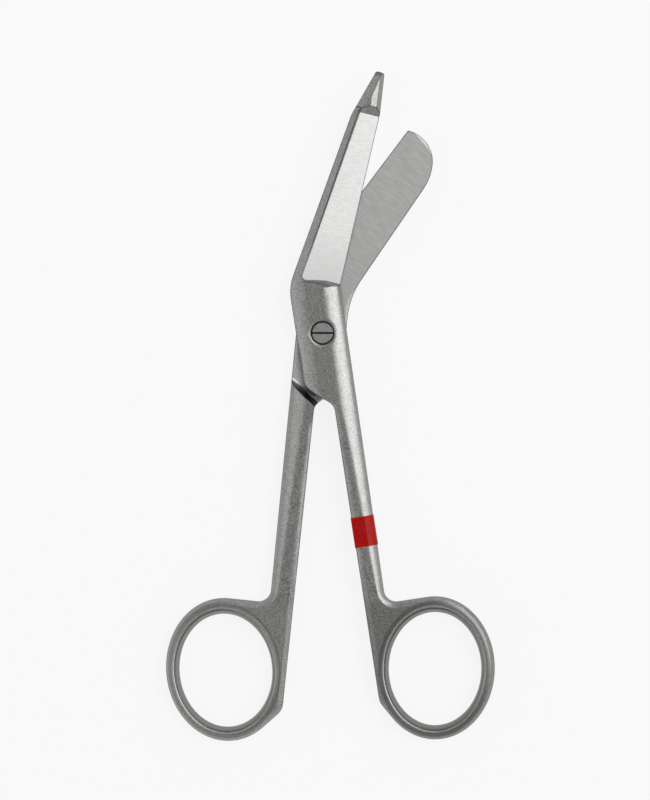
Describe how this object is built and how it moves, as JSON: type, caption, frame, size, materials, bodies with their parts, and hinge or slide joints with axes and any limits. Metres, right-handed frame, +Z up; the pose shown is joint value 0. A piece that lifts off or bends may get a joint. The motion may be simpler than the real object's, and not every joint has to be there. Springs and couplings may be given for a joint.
{
  "type": "bandage scissors",
  "caption": "Angled bandage scissors with a blunt probe tip on one blade, a broad round-ended blade, finger rings, a slotted pivot screw and a red marking band, lying part open.",
  "frame": {"origin": "on the pivot axis, at the flat end of the pivot screw that lies on the table", "axes": "+Y from the pivot towards the blade tips, +X to the right seen from above, +Z up along the pivot axis, out of the slotted screw head"},
  "size_m": [0.069, 0.1404, 0.0044],
  "materials": {
    "ground_steel": "satin stainless steel with fine grinding lines",
    "screw_steel": "turned and ground stainless steel",
    "red_tape": "thin red marking tape with a low sheen"
  },
  "bodies": {
    "broad_side": {"broad_arm": "ground_steel", "pivot_screw": "screw_steel"},
    "probe_side": {"probe_arm": "ground_steel", "colour_band": "red_tape"}
  },
  "joints": [
    {"name": "pivot", "type": "hinge", "parent": "broad_side", "child": "probe_side", "pos_m": [0, 0, 0.0022], "axis": [0, 0, 1], "range_deg": [-14, 60]}
  ]
}
